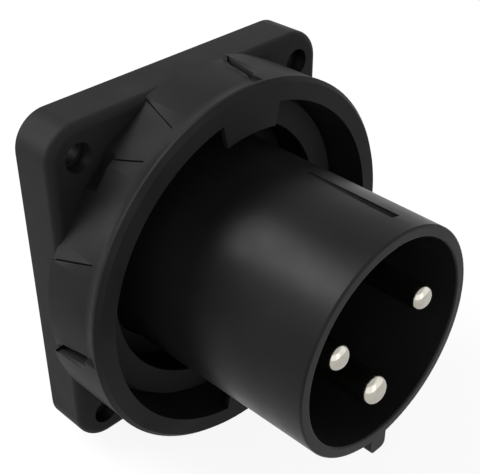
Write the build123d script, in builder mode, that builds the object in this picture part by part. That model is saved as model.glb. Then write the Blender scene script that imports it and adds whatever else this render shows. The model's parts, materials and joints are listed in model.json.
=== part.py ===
from build123d import *
import math
import os

# A panel inlet with a round pin shroud and a bayonet collar, for three pins.
# Millimetres. The panel face is the plane Y = 0, the mouth faces -Y, the key and the earth pin
# are at -Z, and the plug axis is the Y axis. A depth is a distance in front of the panel face.

# Flange
FLANGE_WIDTH = 103.2
FLANGE_HEIGHT = 109.2
FLANGE_THICKNESS = 15.0
FLANGE_CORNER_RADIUS = 10.2
FLANGE_EDGE_RADIUS = 2.6
FIXING_INSET = 9.6
FIXING_SPACING_X = FLANGE_WIDTH - 2 * FIXING_INSET
FIXING_SPACING_Z = FLANGE_HEIGHT - 2 * FIXING_INSET
FIXING_HOLE_RADIUS = 3.5

# Neck between the flange and the collar: round pads, creased corners and raised corners.
# Each pair of outlines is the one in the flange and the one where the neck flares to the collar.
NECK_RADIUS = 56.7
NECK_BASE_DEPTH = 13.9
NECK_FRONT_DEPTH = 30.5
NECK_RAISE = 1.3
CORNER_STEPS = (0.6, 0.1)
TOP_PAD_STARTS = (78.0, 83.3)
TOP_PAD_ENDS = (108.4, 113.6)
SIDE_PAD_STARTS = (161.4, 155.9)
SIDE_PAD_ENDS = (191.3, 186.0)
CREASE_ANGLES = (130.7, 125.1)
HEAD_POCKET_RADIUS = 6.4

# Collar
COLLAR_RADIUS = 58.2
COLLAR_DEPTH = 37.2
COLLAR_BAND = 2.2
COLLAR_CHAMFER = 1.3
MOUTH_RADIUS = 51.7
SEAT_RADIUS = 50.5
SEAT_DEPTH = 22.3
LUG_RADIUS = 44.5
LUG_HALF_ANGLE = 12.0
LUG_ANGLES = (90.0, -90.0)
LUG_THICKNESS = 1.6

# Shroud
SHROUD_DEPTH = 88.2
SHROUD_RADIUS = 34.8
SHROUD_DRAFT = 0.8
SHROUD_ROOT_RADIUS = SHROUD_RADIUS + SHROUD_DRAFT
SHROUD_WALL = 3.5
SHROUD_BORE_RADIUS = SHROUD_RADIUS - SHROUD_WALL
SHROUD_BORE_DRAFT = 0.5
SHROUD_FLOOR_RADIUS = SHROUD_BORE_RADIUS - SHROUD_BORE_DRAFT
SHROUD_RIM_EDGE = 0.6
FLOOR_FRONT_DEPTH = 32.4
FLOOR_REAR_DEPTH = 27.6
KEY_WIDTH = 6.5
KEY_REACH = 4.9
KEY_RADIUS = SHROUD_RADIUS + KEY_REACH
KEY_REAR_DEPTH = 13.8
KEY_EDGE_RADIUS = 1.9
SLOT_ANGLE = 76.8
SLOT_WIDTH = 2.9
SLOT_FLOOR_HEIGHTS = (0.4, -0.6)
SLOT_DEPTHS = (51.6, 81.0)

# Collar gasket, lying on the seat
GASKET_KEY_CLEARANCE = 1.8
GASKET_INNER_RADIUS = KEY_RADIUS + GASKET_KEY_CLEARANCE
GASKET_OUTER_RADIUS = 49.4
GASKET_THICKNESS = 2.4

# Moat behind the seat, and the web round the shroud's root with the insert seal in its back
MOAT_STEP = 0.7
MOAT_RADIUS = GASKET_INNER_RADIUS + MOAT_STEP
WEB_FRONT_DEPTH = 11.0
WEB_REAR_DEPTH = 7.2
WEB_BORE_CLEARANCE = 0.9
WEB_BORE_RADIUS = SHROUD_ROOT_RADIUS + WEB_BORE_CLEARANCE
INSERT_SEAL_LAND = 1.4
INSERT_SEAL_INNER_RADIUS = WEB_BORE_RADIUS + INSERT_SEAL_LAND
INSERT_SEAL_WIDTH = 2.6
INSERT_SEAL_OUTER_RADIUS = INSERT_SEAL_INNER_RADIUS + INSERT_SEAL_WIDTH
INSERT_SEAL_THICKNESS = 1.2

# Base of the shroud, which covers the seal, in its recess
BASE_LAND = 2.7
BASE_RADIUS = INSERT_SEAL_OUTER_RADIUS + BASE_LAND
BASE_REAR_DEPTH = 2.4
BASE_CLEARANCE = 0.35
BASE_RECESS_RADIUS = BASE_RADIUS + BASE_CLEARANCE

# Insert screws, in ears of the shroud's base
EAR_REACH = 1.2
EAR_CIRCLE_RADIUS = BASE_RADIUS + EAR_REACH
EAR_RADIUS = 5.0
INSERT_SCREW_RADIUS = 1.75
INSERT_SCREW_HOLE_RADIUS = 1.85
INSERT_SCREW_EAR_HOLE_RADIUS = 2.2
INSERT_SCREW_TIP_DEPTH = 18.0
INSERT_SCREW_HOLE_DEPTH = 19.2
INSERT_SCREW_HEAD_RADIUS = 3.5
INSERT_SCREW_HEAD_HEIGHT = 2.1

# Panel gasket, in a groove of the panel face
PANEL_GASKET_SIDE_INSET = 1.6
PANEL_GASKET_END_INSET = 2.4
PANEL_GASKET_WIDTH = FLANGE_WIDTH - 2 * PANEL_GASKET_SIDE_INSET
PANEL_GASKET_HEIGHT = FLANGE_HEIGHT - 2 * PANEL_GASKET_END_INSET
PANEL_GASKET_CORNER_RADIUS = 38.4
PANEL_GASKET_BAND = 2.9
PANEL_GASKET_THICKNESS = 1.9

# Pins
PIN_CIRCLE_RADIUS = 18.4
PIN_ANGLE_FROM_EARTH = 105.0
EARTH_ANGLE = -90.0
PIN_TIP_DEPTH = 87.5
PIN_ROOT_STEP = 0.5
PIN_CLEARANCE = 0.1
LINE_PIN_RADIUS = 4.0
LINE_BARREL_RADIUS = 5.6
EARTH_PIN_RADIUS = 5.0
EARTH_BARREL_RADIUS = 6.8
PIN_TIP_ROUND = 0.69
BARREL_REAR_DEPTH = -18.0
WIRE_BORE_RADIUS = 3.2
WIRE_BORE_LENGTH = 15.6

# Terminal block
BLOCK_FLANGE_CLEARANCE = 0.6
BLOCK_FLANGE_RADIUS = EAR_CIRCLE_RADIUS - INSERT_SCREW_HEAD_RADIUS - BLOCK_FLANGE_CLEARANCE
BLOCK_STEP = 10.3
BLOCK_RADIUS = BLOCK_FLANGE_RADIUS - BLOCK_STEP
BLOCK_CLEARANCE = 0.2
SHROUD_REAR_BORE_RADIUS = BLOCK_RADIUS + BLOCK_CLEARANCE
BLOCK_REAR_DEPTH = -24.0
BLOCK_EDGE = 1.2
BLOCK_FLANGE_REAR_DEPTH = -1.8
WIRE_ENTRY_RADIUS = 4.4
CLAMP_SCREW_DEPTH = -10.2
CLAMP_SCREW_RADIUS = 2.5
CLAMP_SCREW_HEAD_RADIUS = 3.4
CLAMP_SCREW_HEAD_HEIGHT = 2.9
CLAMP_SCREW_TIP_CLEARANCE = 0.1
CLAMP_ACCESS_RADIUS = 3.7
BLOCK_SCREW_INSET = 3.6
BLOCK_SCREW_CIRCLE_RADIUS = BLOCK_FLANGE_RADIUS - BLOCK_SCREW_INSET
BLOCK_SCREW_ANGLES = (45.0, 135.0, -45.0, -135.0)
BLOCK_SCREW_RADIUS = 1.5
BLOCK_SCREW_HOLE_RADIUS = 1.6
BLOCK_SCREW_TIP_DEPTH = 6.5
BLOCK_SCREW_HOLE_DEPTH = 6.7
BLOCK_SCREW_HEAD_RADIUS = 2.8
BLOCK_SCREW_HEAD_HEIGHT = 1.9

# Driver slots in screw heads
DRIVER_SLOT_WIDTH = 1.0
DRIVER_SLOT_DEPTH = 1.1

# Past a face, for a cut that goes right through it
OVERRUN = 1.0

FIXING_POINTS = [
    (side * FIXING_SPACING_X / 2, end * FIXING_SPACING_Z / 2) for side in (-1, 1) for end in (-1, 1)
]
RAISED_FIXING_POINTS = [(x, z) for x, z in FIXING_POINTS if x * z > 0]
EAR_ANGLES = (45.0, 135.0, 225.0, 315.0)


def at_depth(depth):
    """The plane at a depth, facing the mouth, with X to the right and Z up."""
    return Plane.XZ.offset(depth)


def polar(radius, angle):
    """A point of such a plane, by its distance from the plug axis and its angle."""
    turn = math.radians(angle)
    return (radius * math.cos(turn), radius * math.sin(turn))


def straight_edge(radius, start, end):
    """A chord of the neck's circle."""
    Line(polar(radius, start), polar(radius, end))


def round_edge(radius, start, end):
    """An arc of the neck's circle."""
    CenterArc((0, 0), radius, start, end - start)


def neck_outline(place, corner_edge):
    """One of the neck's two outlines: pad, creased corner, pad and raised corner, each twice."""
    raised = NECK_RADIUS + NECK_RAISE
    stepped = NECK_RADIUS - CORNER_STEPS[place]
    for turn in (0.0, 180.0):
        top_start = TOP_PAD_STARTS[place] + turn
        top_end = TOP_PAD_ENDS[place] + turn
        crease = CREASE_ANGLES[place] + turn
        side_start = SIDE_PAD_STARTS[place] + turn
        side_end = SIDE_PAD_ENDS[place] + turn
        round_edge(NECK_RADIUS, top_start, top_end)
        Line(polar(NECK_RADIUS, top_end), polar(stepped, top_end))
        corner_edge(stepped, top_end, crease)
        corner_edge(stepped, crease, side_start)
        Line(polar(stepped, side_start), polar(NECK_RADIUS, side_start))
        round_edge(NECK_RADIUS, side_start, side_end)
        Line(polar(NECK_RADIUS, side_end), polar(raised, side_end))
        round_edge(raised, side_end, top_start + 180.0)
        Line(polar(raised, top_start + 180.0), polar(NECK_RADIUS, top_start + 180.0))


def raised_corner(start, end):
    """The sector that carries a raised corner on to the collar."""
    raised = NECK_RADIUS + NECK_RAISE
    round_edge(raised, start, end)
    Polyline(polar(raised, end), (0, 0), polar(raised, start))


def collar_lug(middle):
    """The outline of the bayonet lug whose middle is at an angle."""
    start = middle - LUG_HALF_ANGLE
    end = middle + LUG_HALF_ANGLE
    root = MOUTH_RADIUS + OVERRUN
    CenterArc((0, 0), LUG_RADIUS, start, end - start)
    Line(polar(LUG_RADIUS, end), polar(root, end))
    CenterArc((0, 0), root, start, end - start)
    Line(polar(root, start), polar(LUG_RADIUS, start))


# Housing: flange, neck, collar and lugs, one moulding
with BuildPart() as housing:
    with BuildSketch(at_depth(0)):
        RectangleRounded(FLANGE_WIDTH, FLANGE_HEIGHT, FLANGE_CORNER_RADIUS)
    extrude(amount=FLANGE_THICKNESS)
    fillet(housing.faces().sort_by(Axis.Y)[0].edges(), FLANGE_EDGE_RADIUS)
    with BuildSketch(at_depth(NECK_BASE_DEPTH)):
        with BuildLine():
            neck_outline(0, straight_edge)
        make_face()
    with BuildSketch(at_depth(NECK_FRONT_DEPTH)):
        with BuildLine():
            neck_outline(1, round_edge)
        make_face()
    loft(ruled=True)
    with BuildSketch(Plane.XY):
        with BuildLine():
            neck_front = (NECK_RADIUS, -NECK_FRONT_DEPTH)
            band_rear = (COLLAR_RADIUS, COLLAR_BAND - COLLAR_DEPTH)
            TangentArc(neck_front, band_rear, tangent=(0, -1))
            Polyline(band_rear, (COLLAR_RADIUS, -COLLAR_DEPTH), (0, -COLLAR_DEPTH))
            Polyline((0, -COLLAR_DEPTH), (0, -NECK_FRONT_DEPTH), neck_front)
        make_face()
    revolve(axis=Axis.Y)
    collar_edge = housing.edges().filter_by(GeomType.CIRCLE).group_by(Axis.Y)[0]
    chamfer(collar_edge, COLLAR_CHAMFER)
    with BuildSketch(at_depth(NECK_FRONT_DEPTH)):
        for turn in (0.0, 180.0):
            with BuildLine():
                raised_corner(SIDE_PAD_ENDS[1] + turn, TOP_PAD_STARTS[1] + 180.0 + turn)
            make_face()
    extrude(amount=COLLAR_DEPTH - COLLAR_BAND - NECK_FRONT_DEPTH)
    with BuildSketch(at_depth(FLANGE_THICKNESS)):
        with Locations(*RAISED_FIXING_POINTS):
            Circle(HEAD_POCKET_RADIUS)
    extrude(amount=NECK_FRONT_DEPTH - FLANGE_THICKNESS, mode=Mode.SUBTRACT)
    with BuildSketch(Plane.XY):
        with BuildLine():
            Polyline(
                (0, OVERRUN),
                (BASE_RECESS_RADIUS, OVERRUN),
                (BASE_RECESS_RADIUS, -WEB_REAR_DEPTH),
                (INSERT_SEAL_OUTER_RADIUS, -WEB_REAR_DEPTH),
                (INSERT_SEAL_OUTER_RADIUS, -WEB_REAR_DEPTH - INSERT_SEAL_THICKNESS),
                (INSERT_SEAL_INNER_RADIUS, -WEB_REAR_DEPTH - INSERT_SEAL_THICKNESS),
                (INSERT_SEAL_INNER_RADIUS, -WEB_REAR_DEPTH),
                (WEB_BORE_RADIUS, -WEB_REAR_DEPTH),
                (WEB_BORE_RADIUS, -WEB_FRONT_DEPTH),
                (MOAT_RADIUS, -WEB_FRONT_DEPTH),
                (MOAT_RADIUS, -SEAT_DEPTH),
                (SEAT_RADIUS, -SEAT_DEPTH),
                (MOUTH_RADIUS, -COLLAR_DEPTH),
                (MOUTH_RADIUS, -COLLAR_DEPTH - OVERRUN),
                (0, -COLLAR_DEPTH - OVERRUN),
                close=True,
            )
        make_face()
    revolve(axis=Axis.Y, mode=Mode.SUBTRACT)
    for middle in LUG_ANGLES:
        with BuildSketch(at_depth(COLLAR_DEPTH - LUG_THICKNESS)):
            with BuildLine():
                collar_lug(middle)
            make_face()
        extrude(amount=LUG_THICKNESS)
    with BuildSketch(at_depth(0)):
        with Locations(*FIXING_POINTS):
            Circle(FIXING_HOLE_RADIUS)
    extrude(amount=FLANGE_THICKNESS + OVERRUN, mode=Mode.SUBTRACT)
    with BuildSketch(at_depth(0)):
        with PolarLocations(EAR_CIRCLE_RADIUS, len(EAR_ANGLES), start_angle=EAR_ANGLES[0]):
            Circle(EAR_RADIUS + BASE_CLEARANCE)
    extrude(amount=WEB_REAR_DEPTH, mode=Mode.SUBTRACT)
    with BuildSketch(at_depth(WEB_REAR_DEPTH)):
        with PolarLocations(EAR_CIRCLE_RADIUS, len(EAR_ANGLES), start_angle=EAR_ANGLES[0]):
            Circle(INSERT_SCREW_HOLE_RADIUS)
    extrude(amount=INSERT_SCREW_HOLE_DEPTH - WEB_REAR_DEPTH, mode=Mode.SUBTRACT)
    with BuildSketch(at_depth(0)):
        RectangleRounded(PANEL_GASKET_WIDTH, PANEL_GASKET_HEIGHT, PANEL_GASKET_CORNER_RADIUS)
        offset(amount=-PANEL_GASKET_BAND, mode=Mode.SUBTRACT)
    extrude(amount=PANEL_GASKET_THICKNESS, mode=Mode.SUBTRACT)
housing.part.label = "housing"

# Gaskets
with BuildPart() as collar_gasket:
    with BuildSketch(at_depth(SEAT_DEPTH)):
        Circle(GASKET_OUTER_RADIUS)
        Circle(GASKET_INNER_RADIUS, mode=Mode.SUBTRACT)
    extrude(amount=GASKET_THICKNESS)
collar_gasket.part.label = "collar_gasket"

with BuildPart() as insert_seal:
    with BuildSketch(at_depth(WEB_REAR_DEPTH)):
        Circle(INSERT_SEAL_OUTER_RADIUS)
        Circle(INSERT_SEAL_INNER_RADIUS, mode=Mode.SUBTRACT)
    extrude(amount=INSERT_SEAL_THICKNESS)
insert_seal.part.label = "insert_seal"

with BuildPart() as panel_gasket:
    with BuildSketch(at_depth(0)):
        RectangleRounded(PANEL_GASKET_WIDTH, PANEL_GASKET_HEIGHT, PANEL_GASKET_CORNER_RADIUS)
        offset(amount=-PANEL_GASKET_BAND, mode=Mode.SUBTRACT)
    extrude(amount=PANEL_GASKET_THICKNESS)
panel_gasket.part.label = "panel_gasket"

# The three pins: name, angle, shank radius and barrel radius
PINS = (
    ("line", EARTH_ANGLE - PIN_ANGLE_FROM_EARTH, LINE_PIN_RADIUS, LINE_BARREL_RADIUS),
    ("neutral", EARTH_ANGLE + PIN_ANGLE_FROM_EARTH, LINE_PIN_RADIUS, LINE_BARREL_RADIUS),
    ("earth", EARTH_ANGLE, EARTH_PIN_RADIUS, EARTH_BARREL_RADIUS),
)

# Shroud: tube, key, floor, base and ears, one moulding
with BuildPart() as shroud:
    with BuildSketch(Plane.XY):
        with BuildLine():
            Polyline(
                (0, -FLOOR_FRONT_DEPTH),
                (0, -FLOOR_REAR_DEPTH),
                (SHROUD_REAR_BORE_RADIUS, -FLOOR_REAR_DEPTH),
                (SHROUD_REAR_BORE_RADIUS, -BASE_REAR_DEPTH),
                (BASE_RADIUS, -BASE_REAR_DEPTH),
                (BASE_RADIUS, -WEB_REAR_DEPTH),
                (SHROUD_ROOT_RADIUS, -WEB_REAR_DEPTH),
                (SHROUD_RADIUS, -SHROUD_DEPTH),
                (SHROUD_BORE_RADIUS, -SHROUD_DEPTH),
                (SHROUD_FLOOR_RADIUS, -FLOOR_FRONT_DEPTH),
                close=True,
            )
        make_face()
    revolve(axis=Axis.Y)
    rim_edges = shroud.edges().filter_by(GeomType.CIRCLE).group_by(Axis.Y)[0]
    fillet(rim_edges, SHROUD_RIM_EDGE)
    with BuildSketch(at_depth(KEY_REAR_DEPTH)):
        with Locations((0, -KEY_RADIUS / 2 - SHROUD_FLOOR_RADIUS / 2 - SHROUD_RIM_EDGE)):
            Rectangle(KEY_WIDTH, KEY_RADIUS - SHROUD_FLOOR_RADIUS - 2 * SHROUD_RIM_EDGE)
    extrude(amount=SHROUD_DEPTH - KEY_REAR_DEPTH)
    key_edges = shroud.edges().filter_by(Axis.Y).sort_by(Axis.Z)[:2]
    fillet(key_edges, KEY_EDGE_RADIUS)
    with BuildSketch(Plane.XY):
        with BuildLine():
            Polyline(
                (0, -SHROUD_DEPTH - OVERRUN),
                (SHROUD_BORE_RADIUS, -SHROUD_DEPTH - OVERRUN),
                (SHROUD_BORE_RADIUS, -SHROUD_DEPTH),
                (SHROUD_FLOOR_RADIUS, -FLOOR_FRONT_DEPTH),
                (0, -FLOOR_FRONT_DEPTH),
                close=True,
            )
        make_face()
    revolve(axis=Axis.Y, mode=Mode.SUBTRACT)
    slot_x, slot_z = polar(1, SLOT_ANGLE)
    with BuildSketch(Plane(origin=(0, 0, 0), x_dir=(slot_x, 0, slot_z), z_dir=(-slot_z, 0, slot_x))):
        with BuildLine():
            Polyline(
                (SHROUD_RADIUS + SLOT_FLOOR_HEIGHTS[0], -SLOT_DEPTHS[0]),
                (SHROUD_RADIUS + SLOT_FLOOR_HEIGHTS[1], -SLOT_DEPTHS[1]),
                (SHROUD_ROOT_RADIUS + OVERRUN, -SLOT_DEPTHS[1]),
                (SHROUD_ROOT_RADIUS + OVERRUN, -SLOT_DEPTHS[0]),
                close=True,
            )
        make_face()
    extrude(amount=SLOT_WIDTH / 2, both=True, mode=Mode.SUBTRACT)
    with BuildSketch(at_depth(BASE_REAR_DEPTH)):
        with PolarLocations(EAR_CIRCLE_RADIUS, len(EAR_ANGLES), start_angle=EAR_ANGLES[0]):
            Circle(EAR_RADIUS)
    extrude(amount=WEB_REAR_DEPTH - BASE_REAR_DEPTH)
    with BuildSketch(at_depth(BASE_REAR_DEPTH)):
        with PolarLocations(EAR_CIRCLE_RADIUS, len(EAR_ANGLES), start_angle=EAR_ANGLES[0]):
            Circle(INSERT_SCREW_EAR_HOLE_RADIUS)
    extrude(amount=WEB_REAR_DEPTH - BASE_REAR_DEPTH, mode=Mode.SUBTRACT)
    for _, angle, pin_radius, _ in PINS:
        with BuildSketch(at_depth(FLOOR_REAR_DEPTH)):
            with Locations(polar(PIN_CIRCLE_RADIUS, angle)):
                Circle(pin_radius + PIN_ROOT_STEP + PIN_CLEARANCE)
        extrude(amount=FLOOR_FRONT_DEPTH - FLOOR_REAR_DEPTH, mode=Mode.SUBTRACT)
    with BuildSketch(at_depth(BASE_REAR_DEPTH)):
        with Locations(*[polar(BLOCK_SCREW_CIRCLE_RADIUS, angle) for angle in BLOCK_SCREW_ANGLES]):
            Circle(BLOCK_SCREW_HOLE_RADIUS)
    extrude(amount=BLOCK_SCREW_HOLE_DEPTH - BASE_REAR_DEPTH, mode=Mode.SUBTRACT)
shroud.part.label = "shroud"

# Terminal block: insulating block with a chamber for each pin's barrel
with BuildPart() as terminal_block:
    with BuildSketch(Plane.XY):
        with BuildLine():
            Polyline(
                (0, -FLOOR_REAR_DEPTH),
                (BLOCK_RADIUS, -FLOOR_REAR_DEPTH),
                (BLOCK_RADIUS, -BASE_REAR_DEPTH),
                (BLOCK_FLANGE_RADIUS, -BASE_REAR_DEPTH),
                (BLOCK_FLANGE_RADIUS, -BLOCK_FLANGE_REAR_DEPTH),
                (BLOCK_RADIUS, -BLOCK_FLANGE_REAR_DEPTH),
                (BLOCK_RADIUS, -BLOCK_REAR_DEPTH),
                (0, -BLOCK_REAR_DEPTH),
                close=True,
            )
        make_face()
    revolve(axis=Axis.Y)
    rear_edge = terminal_block.edges().filter_by(GeomType.CIRCLE).group_by(Axis.Y)[-1]
    chamfer(rear_edge, BLOCK_EDGE)
    for _, angle, _, barrel_radius in PINS:
        with BuildSketch(at_depth(BARREL_REAR_DEPTH)):
            with Locations(polar(PIN_CIRCLE_RADIUS, angle)):
                Circle(barrel_radius + PIN_CLEARANCE)
        extrude(amount=FLOOR_REAR_DEPTH - BARREL_REAR_DEPTH, mode=Mode.SUBTRACT)
        with BuildSketch(at_depth(BLOCK_REAR_DEPTH)):
            with Locations(polar(PIN_CIRCLE_RADIUS, angle)):
                Circle(WIRE_ENTRY_RADIUS)
        extrude(amount=BARREL_REAR_DEPTH - BLOCK_REAR_DEPTH, mode=Mode.SUBTRACT)
        pin_x, pin_z = polar(PIN_CIRCLE_RADIUS, angle)
        out_x, out_z = polar(1, angle)
        access_plane = Plane(origin=(pin_x, -CLAMP_SCREW_DEPTH, pin_z), z_dir=(out_x, 0, out_z))
        with BuildSketch(access_plane):
            Circle(CLAMP_ACCESS_RADIUS)
        extrude(amount=BLOCK_RADIUS, mode=Mode.SUBTRACT)
    with BuildSketch(at_depth(BLOCK_FLANGE_REAR_DEPTH)):
        with Locations(*[polar(BLOCK_SCREW_CIRCLE_RADIUS, angle) for angle in BLOCK_SCREW_ANGLES]):
            Circle(BLOCK_SCREW_HOLE_RADIUS)
    extrude(amount=BASE_REAR_DEPTH - BLOCK_FLANGE_REAR_DEPTH, mode=Mode.SUBTRACT)
terminal_block.part.label = "terminal_block"


def make_pin(name, angle, pin_radius, barrel_radius):
    """A turned pin: domed tip, root in the floor, and a barrel with a wire bore and a screw hole."""
    pin_x, pin_z = polar(PIN_CIRCLE_RADIUS, angle)
    out_x, out_z = polar(1, angle)
    with BuildPart() as pin:
        with BuildSketch(at_depth(FLOOR_REAR_DEPTH)):
            with Locations((pin_x, pin_z)):
                Circle(pin_radius)
        extrude(amount=PIN_TIP_DEPTH - FLOOR_REAR_DEPTH)
        fillet(pin.edges().sort_by(Axis.Y)[0], pin_radius * PIN_TIP_ROUND)
        with BuildSketch(at_depth(FLOOR_REAR_DEPTH)):
            with Locations((pin_x, pin_z)):
                Circle(pin_radius + PIN_ROOT_STEP)
        extrude(amount=FLOOR_FRONT_DEPTH - FLOOR_REAR_DEPTH)
        with BuildSketch(at_depth(BARREL_REAR_DEPTH)):
            with Locations((pin_x, pin_z)):
                Circle(barrel_radius)
        extrude(amount=FLOOR_REAR_DEPTH - BARREL_REAR_DEPTH)
        with BuildSketch(at_depth(BARREL_REAR_DEPTH)):
            with Locations((pin_x, pin_z)):
                Circle(WIRE_BORE_RADIUS)
        extrude(amount=WIRE_BORE_LENGTH, mode=Mode.SUBTRACT)
        with BuildSketch(Plane(origin=(pin_x, -CLAMP_SCREW_DEPTH, pin_z), z_dir=(out_x, 0, out_z))):
            Circle(CLAMP_SCREW_RADIUS)
        extrude(amount=barrel_radius + OVERRUN, mode=Mode.SUBTRACT)
    pin.part.label = "pin_" + name
    return pin.part


def make_screw(label, plane, shank_radius, shank_length, head_radius, head_height):
    """A cheese head screw: the plane is under its head and faces away from its tip."""
    with BuildPart() as screw:
        with BuildSketch(plane):
            Circle(shank_radius)
        extrude(amount=-shank_length)
        with BuildSketch(plane):
            Circle(head_radius)
        extrude(amount=head_height)
        with BuildSketch(plane.offset(head_height - DRIVER_SLOT_DEPTH)):
            Rectangle(2 * head_radius + OVERRUN, DRIVER_SLOT_WIDTH)
        extrude(amount=DRIVER_SLOT_DEPTH, mode=Mode.SUBTRACT)
    screw.part.label = label
    return screw.part


pieces = [
    housing.part,
    collar_gasket.part,
    insert_seal.part,
    panel_gasket.part,
    shroud.part,
    terminal_block.part,
]

for name, angle, pin_radius, barrel_radius in PINS:
    pieces.append(make_pin(name, angle, pin_radius, barrel_radius))
    seat_x, seat_z = polar(PIN_CIRCLE_RADIUS + barrel_radius, angle)
    out_x, out_z = polar(1, angle)
    clamp_plane = Plane(origin=(seat_x, -CLAMP_SCREW_DEPTH, seat_z), z_dir=(out_x, 0, out_z))
    pieces.append(
        make_screw(
            "clamp_screw_" + name,
            clamp_plane,
            CLAMP_SCREW_RADIUS,
            barrel_radius - WIRE_BORE_RADIUS - CLAMP_SCREW_TIP_CLEARANCE,
            CLAMP_SCREW_HEAD_RADIUS,
            CLAMP_SCREW_HEAD_HEIGHT,
        )
    )

for number, angle in enumerate(EAR_ANGLES, start=1):
    ear_x, ear_z = polar(EAR_CIRCLE_RADIUS, angle)
    pieces.append(
        make_screw(
            f"insert_screw_{number}",
            Plane(origin=(ear_x, -BASE_REAR_DEPTH, ear_z), z_dir=(0, 1, 0)),
            INSERT_SCREW_RADIUS,
            INSERT_SCREW_TIP_DEPTH - BASE_REAR_DEPTH,
            INSERT_SCREW_HEAD_RADIUS,
            INSERT_SCREW_HEAD_HEIGHT,
        )
    )

for number, angle in enumerate(BLOCK_SCREW_ANGLES, start=1):
    head_x, head_z = polar(BLOCK_SCREW_CIRCLE_RADIUS, angle)
    pieces.append(
        make_screw(
            f"block_screw_{number}",
            Plane(origin=(head_x, -BLOCK_FLANGE_REAR_DEPTH, head_z), z_dir=(0, 1, 0)),
            BLOCK_SCREW_RADIUS,
            BLOCK_SCREW_TIP_DEPTH - BLOCK_FLANGE_REAR_DEPTH,
            BLOCK_SCREW_HEAD_RADIUS,
            BLOCK_SCREW_HEAD_HEIGHT,
        )
    )

os.makedirs("parts", exist_ok=True)
for piece in pieces:
    export_step(piece, f"parts/{piece.label}.step")
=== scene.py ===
import json
import math

import bmesh
import bpy
from mathutils import Matrix, Vector
from mathutils.bvhtree import BVHTree
from mathutils.geometry import barycentric_transform


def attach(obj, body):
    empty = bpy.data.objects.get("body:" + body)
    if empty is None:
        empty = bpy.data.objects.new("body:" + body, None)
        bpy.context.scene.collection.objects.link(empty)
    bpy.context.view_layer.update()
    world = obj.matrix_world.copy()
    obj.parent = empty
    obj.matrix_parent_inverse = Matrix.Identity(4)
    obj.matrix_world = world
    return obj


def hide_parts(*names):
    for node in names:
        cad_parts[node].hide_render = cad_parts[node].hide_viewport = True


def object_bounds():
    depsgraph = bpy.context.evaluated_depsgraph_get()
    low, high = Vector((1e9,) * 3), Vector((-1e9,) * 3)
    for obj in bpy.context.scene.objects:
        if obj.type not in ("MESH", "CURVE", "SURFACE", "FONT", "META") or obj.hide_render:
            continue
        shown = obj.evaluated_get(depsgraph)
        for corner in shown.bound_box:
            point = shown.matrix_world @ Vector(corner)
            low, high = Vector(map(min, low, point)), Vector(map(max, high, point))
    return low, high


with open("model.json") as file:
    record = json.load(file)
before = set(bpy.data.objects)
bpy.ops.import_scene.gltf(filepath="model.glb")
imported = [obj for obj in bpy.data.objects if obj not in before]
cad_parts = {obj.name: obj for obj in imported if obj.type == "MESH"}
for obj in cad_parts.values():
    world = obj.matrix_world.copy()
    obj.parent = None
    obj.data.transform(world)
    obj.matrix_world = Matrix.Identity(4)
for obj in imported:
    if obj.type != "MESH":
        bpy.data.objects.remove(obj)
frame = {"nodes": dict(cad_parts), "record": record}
cad_low, cad_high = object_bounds()
nodes = frame["nodes"]
mounts = {mount["name"]: mount for mount in frame["record"]["mounts"]}

MM = 0.001

# Camera

# Its place and lens were fitted to the edges of the flange, the collar and the shroud in the photo.
# Its line of sight passes a little to the right of and above a point near the plug's axis.
VIEW_AZIMUTH = math.radians(-44.787)
VIEW_ELEVATION = math.radians(34.144)
VIEW_ROLL = math.radians(-0.309)
VIEW_DISTANCE = 298.915 * MM
VIEW_AIM = Vector((0.0, -30.0, 0.6216)) * MM
VIEW_AIM_RIGHT = 1.4868 * MM
VIEW_AIM_UP = 5.3257 * MM
LENS_MM = 74.297
SENSOR_MM = 36.0
CLIP_START = 0.01
CLIP_END = 20.0


def make_camera():
    """The camera of the photo, rolled a little round its line of sight."""
    data = bpy.data.cameras.new("photo_camera")
    data.lens = LENS_MM
    data.sensor_width = SENSOR_MM
    data.clip_start = CLIP_START
    data.clip_end = CLIP_END
    flat = math.cos(VIEW_ELEVATION)
    back = Vector(
        (math.sin(VIEW_AZIMUTH) * flat, -math.cos(VIEW_AZIMUTH) * flat, math.sin(VIEW_ELEVATION))
    )
    level_right = Vector((math.cos(VIEW_AZIMUTH), math.sin(VIEW_AZIMUTH), 0.0))
    level_up = back.cross(level_right)
    right = math.cos(VIEW_ROLL) * level_right + math.sin(VIEW_ROLL) * level_up
    up = math.cos(VIEW_ROLL) * level_up - math.sin(VIEW_ROLL) * level_right
    place = VIEW_AIM + VIEW_AIM_RIGHT * right + VIEW_AIM_UP * up + VIEW_DISTANCE * back
    camera = bpy.data.objects.new("photo_camera", data)
    rotation = Matrix((right, up, back)).transposed()
    camera.matrix_world = Matrix.Translation(place) @ rotation.to_4x4()
    bpy.context.scene.collection.objects.link(camera)
    bpy.context.scene.camera = camera


make_camera()


# Shader nodes

BEVEL_SAMPLES = 6


def add_node(tree, kind, **settings):
    node = tree.nodes.new(kind)
    for key, value in settings.items():
        setattr(node, key, value)
    return node


def grey(value, warmth=0.0):
    return (value * (1.0 + warmth), value, value * (1.0 - warmth), 1.0)


def as_colour(value):
    """A colour as it is, or one value as a grey."""
    return value if isinstance(value, tuple) else (value, value, value, 1.0)


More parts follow.
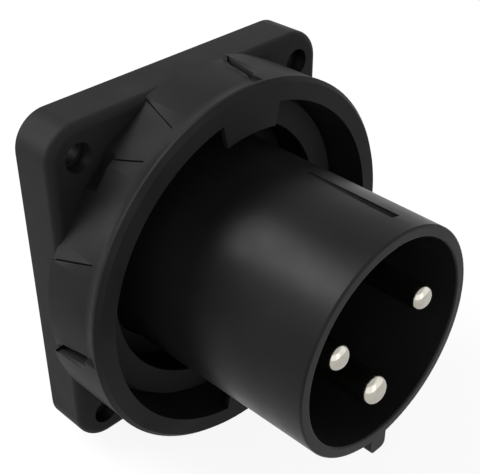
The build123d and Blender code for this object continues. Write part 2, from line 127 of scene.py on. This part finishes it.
class Shader:
    """A principled material with a few short ways to add and join nodes."""

    def __init__(self, name):
        self.material = bpy.data.materials.new(name)
        self.material.use_nodes = True
        self.tree = self.material.node_tree
        self.bsdf = self.tree.nodes["Principled BSDF"]
        self.place = self.add("ShaderNodeTexCoord").outputs["Object"]

    def add(self, kind, **settings):
        return add_node(self.tree, kind, **settings)

    def join(self, start, end):
        self.tree.links.new(start, end)

    def set(self, values):
        for socket, value in values.items():
            self.bsdf.inputs[socket].default_value = value

    def noise(self, per_mm, detail=2.0, roughness=0.5, stretch=None):
        """Noise with so many lumps to a millimetre, stretched along an axis where asked."""
        node = self.add("ShaderNodeTexNoise")
        node.inputs["Scale"].default_value = per_mm / MM
        node.inputs["Detail"].default_value = detail
        node.inputs["Roughness"].default_value = roughness
        place = self.place
        if stretch:
            mapping = self.add("ShaderNodeMapping")
            mapping.inputs["Scale"].default_value = stretch
            self.join(place, mapping.inputs["Vector"])
            place = mapping.outputs["Vector"]
        self.join(place, node.inputs["Vector"])
        return node.outputs["Fac"]

    def ramp(self, source, low, high, start=0.3, end=0.7):
        """Turns a 0 to 1 field into a colour or a grey between two values."""
        node = self.add("ShaderNodeValToRGB")
        stops = node.color_ramp.elements
        stops[0].position = start
        stops[1].position = end
        stops[0].color = as_colour(low)
        stops[1].color = as_colour(high)
        self.join(source, node.inputs["Fac"])
        return node.outputs["Color"]

    def bump(self, height, depth_mm, strength, normal):
        node = self.add("ShaderNodeBump")
        node.inputs["Distance"].default_value = depth_mm * MM
        node.inputs["Strength"].default_value = strength
        self.join(height, node.inputs["Height"])
        self.join(normal, node.inputs["Normal"])
        return node.outputs["Normal"]

    def soft_edges(self, radius_mm):
        node = self.add("ShaderNodeBevel", samples=BEVEL_SAMPLES)
        node.inputs["Radius"].default_value = radius_mm * MM
        return node.outputs["Normal"]

    def finish(self, colour, roughness, normal):
        self.join(colour, self.bsdf.inputs["Base Color"])
        self.join(roughness, self.bsdf.inputs["Roughness"])
        self.join(normal, self.bsdf.inputs["Normal"])
        return self.material


# Materials

# Scales are in lumps per millimetre, and depths and edge radii in millimetres.
REFRACTION_INDEX = 1.5
FLOW_SCALE = 0.05
POLISH_SCALE = 0.12
SINK_SCALE = 0.06
SINK_DEPTH = 0.03
GRAIN_SCALE = 2.4
DUST_SCALE = 0.2
PIT_SCALE = 3.0
PIT_DEPTH = 0.02
RUBBER_SPECULAR = 0.12
RUBBER_EDGE = 0.15
HAZE_SCALE = 0.35
TURNING_SCALE = 1.0
TURNING_DEPTH = 0.002
TURNING_STRETCH = (0.15, 6.0, 0.15)
METAL_EDGE = 0.12


def moulded_plastic(name, dark, light, smooth, rough, grain, specular, edge):
    """Injection moulded nylon: fine spark-eroded grain, slow flow marks and a soft edge."""
    s = Shader(name)
    s.set({"IOR": REFRACTION_INDEX, "Specular IOR Level": specular})
    flow = s.noise(FLOW_SCALE, detail=3.0)
    colour = s.ramp(flow, grey(dark), grey(light))
    polish = s.noise(POLISH_SCALE, detail=4.0, roughness=0.6)
    gloss = s.ramp(polish, smooth, rough)
    sinks = s.noise(SINK_SCALE, detail=1.0)
    normal = s.bump(sinks, SINK_DEPTH, strength=0.12, normal=s.soft_edges(edge))
    skin = s.noise(GRAIN_SCALE, detail=2.0, roughness=0.6)
    normal = s.bump(skin, grain, strength=0.6, normal=normal)
    return s.finish(colour, gloss, normal)


def rubber(name, dark, light, smooth, rough):
    """Moulded seal: matt, dusty in patches, with a fine pitted skin."""
    s = Shader(name)
    s.set({"IOR": REFRACTION_INDEX, "Specular IOR Level": RUBBER_SPECULAR})
    dust = s.noise(DUST_SCALE, detail=5.0, roughness=0.65)
    colour = s.ramp(dust, dark, light)
    gloss = s.ramp(dust, smooth, rough)
    pits = s.noise(PIT_SCALE, detail=3.0, roughness=0.7)
    normal = s.bump(pits, PIT_DEPTH, strength=0.7, normal=s.soft_edges(RUBBER_EDGE))
    return s.finish(colour, gloss, normal)


def plated_metal(name, dark, light, smooth, rough):
    """Nickel on brass or zinc on steel: even plating, hairline turning marks, faint haze."""
    s = Shader(name)
    s.set({"Metallic": 1.0})
    haze = s.noise(HAZE_SCALE, detail=4.0, roughness=0.6)
    colour = s.ramp(haze, dark, light)
    gloss = s.ramp(haze, smooth, rough)
    marks = s.noise(TURNING_SCALE, detail=3.0, roughness=0.7, stretch=TURNING_STRETCH)
    normal = s.bump(marks, TURNING_DEPTH, strength=0.3, normal=s.soft_edges(METAL_EDGE))
    return s.finish(colour, gloss, normal)


HOUSING = moulded_plastic(
    "housing_black_nylon",
    dark=0.008,
    light=0.012,
    smooth=0.46,
    rough=0.54,
    grain=0.02,
    specular=0.05,
    edge=0.12,
)
SHROUD = moulded_plastic(
    "shroud_black_nylon",
    dark=0.006,
    light=0.009,
    smooth=0.32,
    rough=0.40,
    grain=0.012,
    specular=0.09,
    edge=0.2,
)
BLOCK = moulded_plastic(
    "block_grey_nylon",
    dark=0.05,
    light=0.07,
    smooth=0.5,
    rough=0.6,
    grain=0.02,
    specular=0.4,
    edge=0.2,
)
RUBBER = rubber("seal_rubber", dark=grey(0.008), light=grey(0.014, 0.02), smooth=0.62, rough=0.8)
PIN = plated_metal(
    "nickel_on_brass",
    dark=(0.40, 0.38, 0.335, 1.0),
    light=(0.47, 0.45, 0.40, 1.0),
    smooth=0.13,
    rough=0.17,
)
SCREW = plated_metal(
    "zinc_on_steel", dark=grey(0.42, 0.01), light=grey(0.58, 0.03), smooth=0.26, rough=0.42
)

FINISHES = {
    "housing": HOUSING,
    "collar_gasket": RUBBER,
    "insert_seal": RUBBER,
    "panel_gasket": RUBBER,
    "shroud": SHROUD,
    "terminal_block": BLOCK,
}


def dress(name, node):
    """Gives a CAD node its material, by its name."""
    material = FINISHES.get(name)
    if name.startswith("pin_"):
        material = PIN
    if "screw" in name:
        material = SCREW
    for slot in node.material_slots:
        slot.material = material


for name, node in nodes.items():
    dress(name, node)


# Fine carving of the housing and the shroud

# Sizes are in millimetres and degrees. Angles turn round the plug's axis from +X towards +Z,
# and depths run from the panel face towards the mouth, along -Y.
# An outline on the neck is a list of angles and depths, with a twin half a turn round.
TWIN_TURNS = (0.0, 180.0)
SIDE_SLOT = ((192.2, 14.2), (190.6, 19.4), (187.7, 30.4), (185.2, 29.7), (187.8, 18.4))
TOP_SLOT = ((77.4, 14.2), (78.9, 20.2), (82.1, 30.1), (83.5, 30.3), (80.9, 19.6))
SLOT_RADII = (54.0, 60.0)

TOP_PAD_SCORE = ((108.81, 15.2), (113.4, 29.9))
CREASE_SCORE = ((129.32, 18.0), (125.27, 30.0))
SIDE_PAD_SCORE = ((160.97, 15.2), (156.07, 30.0))
SCORE_RADII = (55.35, 58.0)
SCORE_HALF_WIDTH = 0.22

HOLE_X = mounts["fixing_holes"]["dims"]["spacing_x_mm"] / 2
HOLE_Z = mounts["fixing_holes"]["dims"]["spacing_y_mm"] / 2
FLAT_CORNER_HOLES = ((-HOLE_X, HOLE_Z), (HOLE_X, -HOLE_Z))
RAISED_CORNER_HOLES = ((HOLE_X, HOLE_Z), (-HOLE_X, -HOLE_Z))
HEAD_SCOOP_RADII = (9.2, 8.2)
HEAD_SCOOP_DEPTHS = (15.02, 20.2)
COUNTERBORE_RADIUS = 4.35
COUNTERBORE_DEPTHS = (10.2, 15.3)
ROUND_SIDES = 72

# The section of the shroud's slot is a list of radii and depths.
SHROUD_SLOT_ANGLE = 76.8
SHROUD_SLOT_HALF_WIDTH = 1.65
SHROUD_SLOT_SECTION = ((34.75, 50.0), (33.85, 81.2), (38.0, 81.2), (38.0, 50.0))

# Distances in a mesh are in metres, and two faces look the same way above this cosine.
WELD_DISTANCE = 1e-6
CLEAN_DISTANCE = 5e-6
SAME_PLACE = 4e-6
SAME_FACING = 0.98


def close_between(bm, first, second):
    """A closed cutter between two rings of points."""
    bm.faces.new(first)
    bm.faces.new(list(reversed(second)))
    for here in range(len(first)):
        after = (here + 1) % len(first)
        bm.faces.new((first[after], first[here], second[here], second[after]))


def neck_point(radius, angle, depth):
    turn = math.radians(angle)
    return (radius * math.cos(turn) * MM, -depth * MM, radius * math.sin(turn) * MM)


def wedge(bm, radii, outline, turn):
    """A cutter between two radii, over an outline of angles and depths."""
    rings = []
    for radius in radii:
        places = [neck_point(radius, angle + turn, depth) for angle, depth in outline]
        rings.append([bm.verts.new(place) for place in places])
    close_between(bm, *rings)


def round_cutter(bm, x, z, radii, depths):
    """A cone or cylinder on a fixing hole's axis, between two depths."""
    rings = []
    for radius, depth in zip(radii, depths):
        ring = []
        for step in range(ROUND_SIDES):
            turn = 2 * math.pi * step / ROUND_SIDES
            place = (x + radius * math.cos(turn), -depth, z + radius * math.sin(turn))
            ring.append(bm.verts.new([value * MM for value in place]))
        rings.append(ring)
    close_between(bm, *rings)


def score_outline(start, end):
    """A narrow strip round a line on the neck."""
    middle_radius = sum(SCORE_RADII) / 2
    across = math.degrees(SCORE_HALF_WIDTH / middle_radius)
    return (
        (start[0] - across, start[1]),
        (start[0] + across, start[1]),
        (end[0] + across, end[1]),
        (end[0] - across, end[1]),
    )


def add_slots(bm):
    """The slots at the steps of the raised corners."""
    for turn in TWIN_TURNS:
        wedge(bm, SLOT_RADII, SIDE_SLOT, turn)
        wedge(bm, SLOT_RADII, TOP_SLOT, turn)


def add_scores(bm):
    """The fine lines where the neck's pads and flats meet."""
    for turn in TWIN_TURNS:
        for start, end in (TOP_PAD_SCORE, CREASE_SCORE, SIDE_PAD_SCORE):
            wedge(bm, SCORE_RADII, score_outline(start, end), turn)


def add_scoops(bm):
    """The hollows in the neck's flat corners that clear a screw's head."""
    for x, z in FLAT_CORNER_HOLES:
        round_cutter(bm, x, z, HEAD_SCOOP_RADII, HEAD_SCOOP_DEPTHS)


def add_counterbores(bm):
    """The wider mouths of the fixing holes."""
    radii = (COUNTERBORE_RADIUS, COUNTERBORE_RADIUS)
    for x, z in FLAT_CORNER_HOLES + RAISED_CORNER_HOLES:
        round_cutter(bm, x, z, radii, COUNTERBORE_DEPTHS)


def add_shroud_slot(bm):
    """A cutter with the slot's section, as wide as the slot."""
    turn = math.radians(SHROUD_SLOT_ANGLE)
    out = Vector((math.cos(turn), 0.0, math.sin(turn)))
    across = Vector((-math.sin(turn), 0.0, math.cos(turn)))
    rings = []
    for side in (-SHROUD_SLOT_HALF_WIDTH, SHROUD_SLOT_HALF_WIDTH):
        places = []
        for radius, depth in SHROUD_SLOT_SECTION:
            places.append(out * radius + across * side + Vector((0.0, -depth, 0.0)))
        rings.append([bm.verts.new(place * MM) for place in places])
    close_between(bm, *rings)


def carving_tool(add_cutters):
    """An object with the cutters that one function adds, which mustn't overlap."""
    bm = bmesh.new()
    add_cutters(bm)
    bmesh.ops.recalc_face_normals(bm, faces=bm.faces)
    mesh = bpy.data.meshes.new("carving_tool")
    bm.to_mesh(mesh)
    bm.free()
    tool = bpy.data.objects.new("carving_tool", mesh)
    bpy.context.scene.collection.objects.link(tool)
    return tool


def welded_copy(name):
    """An object with a CAD node's mesh, its doubled points joined so that a cut can close."""
    bm = bmesh.new()
    bm.from_mesh(nodes[name].data)
    bmesh.ops.remove_doubles(bm, verts=bm.verts, dist=WELD_DISTANCE)
    mesh = bpy.data.meshes.new(name + "_plain")
    bm.to_mesh(mesh)
    bm.free()
    blank = bpy.data.objects.new(name + "_blank", mesh)
    bpy.context.scene.collection.objects.link(blank)
    return blank


def cut_away(blank, tools):
    """Cuts a blank with each tool in turn, removes them all and returns the mesh that is left."""
    for tool in tools:
        cut = blank.modifiers.new("cut", "BOOLEAN")
        cut.operation = "DIFFERENCE"
        cut.solver = "EXACT"
        cut.object = tool
    bpy.context.view_layer.update()
    graph = bpy.context.evaluated_depsgraph_get()
    mesh = bpy.data.meshes.new_from_object(blank.evaluated_get(graph))
    for used in [blank] + tools:
        bpy.data.objects.remove(used)
    return mesh


def clean(mesh):
    """Joins the cutters' doubled points and leaves plain triangles with no slivers."""
    bm = bmesh.new()
    bm.from_mesh(mesh)
    bmesh.ops.remove_doubles(bm, verts=bm.verts, dist=CLEAN_DISTANCE)
    bmesh.ops.dissolve_degenerate(bm, edges=bm.edges, dist=CLEAN_DISTANCE)
    bmesh.ops.triangulate(bm, faces=bm.faces, quad_method="BEAUTY", ngon_method="BEAUTY")
    bmesh.ops.dissolve_degenerate(bm, edges=bm.edges, dist=CLEAN_DISTANCE)
    bmesh.ops.triangulate(bm, faces=bm.faces)
    bm.to_mesh(mesh)
    bm.free()


def keep_cad_normals(mesh, source):
    """Gives each face that wasn't cut the smooth normals of the CAD mesh."""
    points = [vertex.co for vertex in source.vertices]
    triangles = [tuple(face.vertices) for face in source.polygons]
    tree = BVHTree.FromPolygons(points, triangles)
    normals = [None] * len(mesh.loops)
    for face in mesh.polygons:
        _, facing, index, gap = tree.find_nearest(face.center)
        uncut = gap < SAME_PLACE and facing.dot(face.normal) > SAME_FACING
        corners = [points[vertex] for vertex in triangles[index]]
        loops = source.polygons[index].loop_indices
        smooth = [source.corner_normals[loop].vector for loop in loops]
        for loop in face.loop_indices:
            normal = face.normal
            if uncut:
                place = mesh.vertices[mesh.loops[loop].vertex_index].co
                normal = barycentric_transform(place, *corners, *smooth)
            normals[loop] = normal.normalized()
    mesh.normals_split_custom_set(normals)


def carve(name, material, adders):
    """A moulding with finer cuts than the solid's, in place of the CAD node."""
    tools = [carving_tool(add) for add in adders]
    mesh = cut_away(welded_copy(name), tools)
    mesh.name = name + "_moulding"
    clean(mesh)
    mesh.materials.clear()
    mesh.materials.append(material)
    keep_cad_normals(mesh, nodes[name].data)
    piece = bpy.data.objects.new(name + "_moulding", mesh)
    bpy.context.scene.collection.objects.link(piece)
    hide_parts(name)
    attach(piece, "root")


carve("housing", HOUSING, (add_slots, add_scores, add_scoops, add_counterbores))
carve("shroud", SHROUD, (add_shroud_slot,))

# Floor and light

# Sizes are in metres. Far from the object the floor glows as white as the background.
FLOOR_SIZE = 8.0
FLOOR_GAP = 0.0002
FLOOR_COLOUR = (0.9, 0.9, 0.9, 1.0)
FLOOR_GLOW = 0.9
FLOOR_FADE = (0.3, 1.8)
AMBIENT = 0.45
WHITE = (1.0, 1.0, 1.0, 1.0)

# Each lamp has a name, a place, a size and a power in watts.
LAMP_AIM = (0.0, -0.025, 0.0)
LAMPS = (
    ("key", (-0.30, 0.45, 0.70), (0.6, 0.35), 8.5),
    ("side", (-0.48, 0.76, 0.28), (0.5, 0.3), 5.0),
    ("front", (-0.5, -0.8, 0.12), (1.5, 1.2), 5.0),
    ("fill", (0.4, -0.85, 0.15), (1.9, 1.5), 6.5),
)


def background_rays(tree):
    """1 for camera, glossy and transmission rays, which see the white background."""
    path = add_node(tree, "ShaderNodeLightPath")
    seen = add_node(tree, "ShaderNodeMath", operation="ADD")
    tree.links.new(path.outputs["Is Camera Ray"], seen.inputs[0])
    tree.links.new(path.outputs["Is Glossy Ray"], seen.inputs[1])
    every = add_node(tree, "ShaderNodeMath", operation="ADD", use_clamp=True)
    tree.links.new(seen.outputs[0], every.inputs[0])
    tree.links.new(path.outputs["Is Transmission Ray"], every.inputs[1])
    return every.outputs[0]


def glow_by_distance(tree):
    """The floor's share of glow, which grows to 1 away from the object."""
    place = add_node(tree, "ShaderNodeNewGeometry")
    distance = add_node(tree, "ShaderNodeVectorMath", operation="LENGTH")
    fade = add_node(tree, "ShaderNodeMapRange")
    fade.inputs["From Min"].default_value = FLOOR_FADE[0]
    fade.inputs["From Max"].default_value = FLOOR_FADE[1]
    fade.inputs["To Min"].default_value = FLOOR_GLOW
    fade.inputs["To Max"].default_value = 1.0
    tree.links.new(place.outputs["Position"], distance.inputs[0])
    tree.links.new(distance.outputs["Value"], fade.inputs["Value"])
    return fade.outputs["Result"]


def floor_material():
    """Pale and matt, so that it catches shadows, and mixed with its share of glow."""
    material = bpy.data.materials.new("pale_floor")
    material.use_nodes = True
    tree = material.node_tree
    tree.nodes.clear()
    matt = add_node(tree, "ShaderNodeBsdfDiffuse")
    matt.inputs["Color"].default_value = FLOOR_COLOUR
    glow = add_node(tree, "ShaderNodeEmission")
    glow.inputs["Strength"].default_value = 1.0
    share = add_node(tree, "ShaderNodeMath", operation="MULTIPLY")
    tree.links.new(background_rays(tree), share.inputs[0])
    tree.links.new(glow_by_distance(tree), share.inputs[1])
    mix = add_node(tree, "ShaderNodeMixShader")
    tree.links.new(share.outputs[0], mix.inputs["Fac"])
    tree.links.new(matt.outputs[0], mix.inputs[1])
    tree.links.new(glow.outputs[0], mix.inputs[2])
    out = add_node(tree, "ShaderNodeOutputMaterial")
    tree.links.new(mix.outputs[0], out.inputs["Surface"])
    return material


def make_floor():
    """A square just below the object's lowest point."""
    half = FLOOR_SIZE / 2
    height = cad_low.z - FLOOR_GAP
    corners = []
    for x, y in ((-half, -half), (half, -half), (half, half), (-half, half)):
        corners.append((x, y, height))
    mesh = bpy.data.meshes.new("floor")
    mesh.from_pydata(corners, [], [(0, 1, 2, 3)])
    mesh.materials.append(floor_material())
    floor = bpy.data.objects.new("floor", mesh)
    bpy.context.scene.collection.objects.link(floor)


def make_world():
    """White where it is seen, and dimmer as a light on the object."""
    world = bpy.data.worlds.new("studio")
    world.use_nodes = True
    tree = world.node_tree
    surround = tree.nodes["Background"]
    strength = add_node(tree, "ShaderNodeMapRange")
    strength.inputs["To Min"].default_value = AMBIENT
    strength.inputs["To Max"].default_value = 1.0
    tree.links.new(background_rays(tree), strength.inputs["Value"])
    tree.links.new(strength.outputs["Result"], surround.inputs["Strength"])
    surround.inputs["Color"].default_value = WHITE
    bpy.context.scene.world = world


def area_lamp(name, place, size, watts):
    """A rectangular lamp that faces the object."""
    data = bpy.data.lights.new(name, "AREA")
    data.shape = "RECTANGLE"
    data.size, data.size_y = size
    data.energy = watts
    lamp = bpy.data.objects.new(name, data)
    lamp.location = place
    facing = Vector(LAMP_AIM) - Vector(place)
    lamp.rotation_mode = "QUATERNION"
    lamp.rotation_quaternion = facing.to_track_quat("-Z", "Y")
    bpy.context.scene.collection.objects.link(lamp)


make_floor()
make_world()
for name, place, size, watts in LAMPS:
    area_lamp(name, place, size, watts)

bpy.context.scene.view_settings.view_transform = "Standard"
